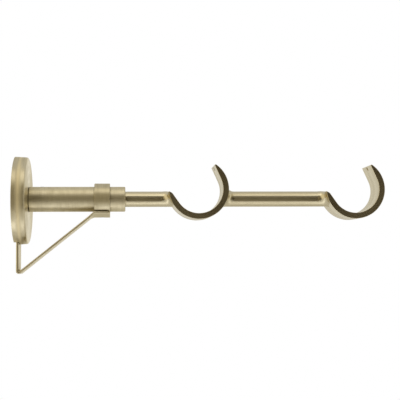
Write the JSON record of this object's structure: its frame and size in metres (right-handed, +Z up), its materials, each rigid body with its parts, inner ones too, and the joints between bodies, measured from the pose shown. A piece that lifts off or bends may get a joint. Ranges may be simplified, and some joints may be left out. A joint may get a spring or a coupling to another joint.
{
  "type": "curtain pole bracket",
  "caption": "Wall bracket for curtain poles: round rose, tubular stem with collar, folded strap strut, and a grooved cast arm with open hooks that hold one pole behind another.",
  "frame": {"origin": "on the wall, where the stem's centre line meets the back of the wall plate", "axes": "+X out from the wall along the stem, +Y along the poles, +Z up"},
  "size_m": [0.2225, 0.0526, 0.0699],
  "materials": {
    "plated_steel": "zinc plated",
    "turned_brass": "turned",
    "rose_brass": "satin, spun",
    "stem_brass": "satin, brushed round",
    "collar_brass": "satin, brushed round",
    "strap_brass": "satin",
    "cast_brass": "satin over a casting",
    "screw_steel": "blackened"
  },
  "bodies": {
    "root": {"wall_plate": "plated_steel", "spigot": "turned_brass", "rose": "rose_brass", "stem": "stem_brass", "collar": "collar_brass", "strut": "strap_brass", "arm": "cast_brass", "lock_screws": "screw_steel"}
  },
  "joints": []
}
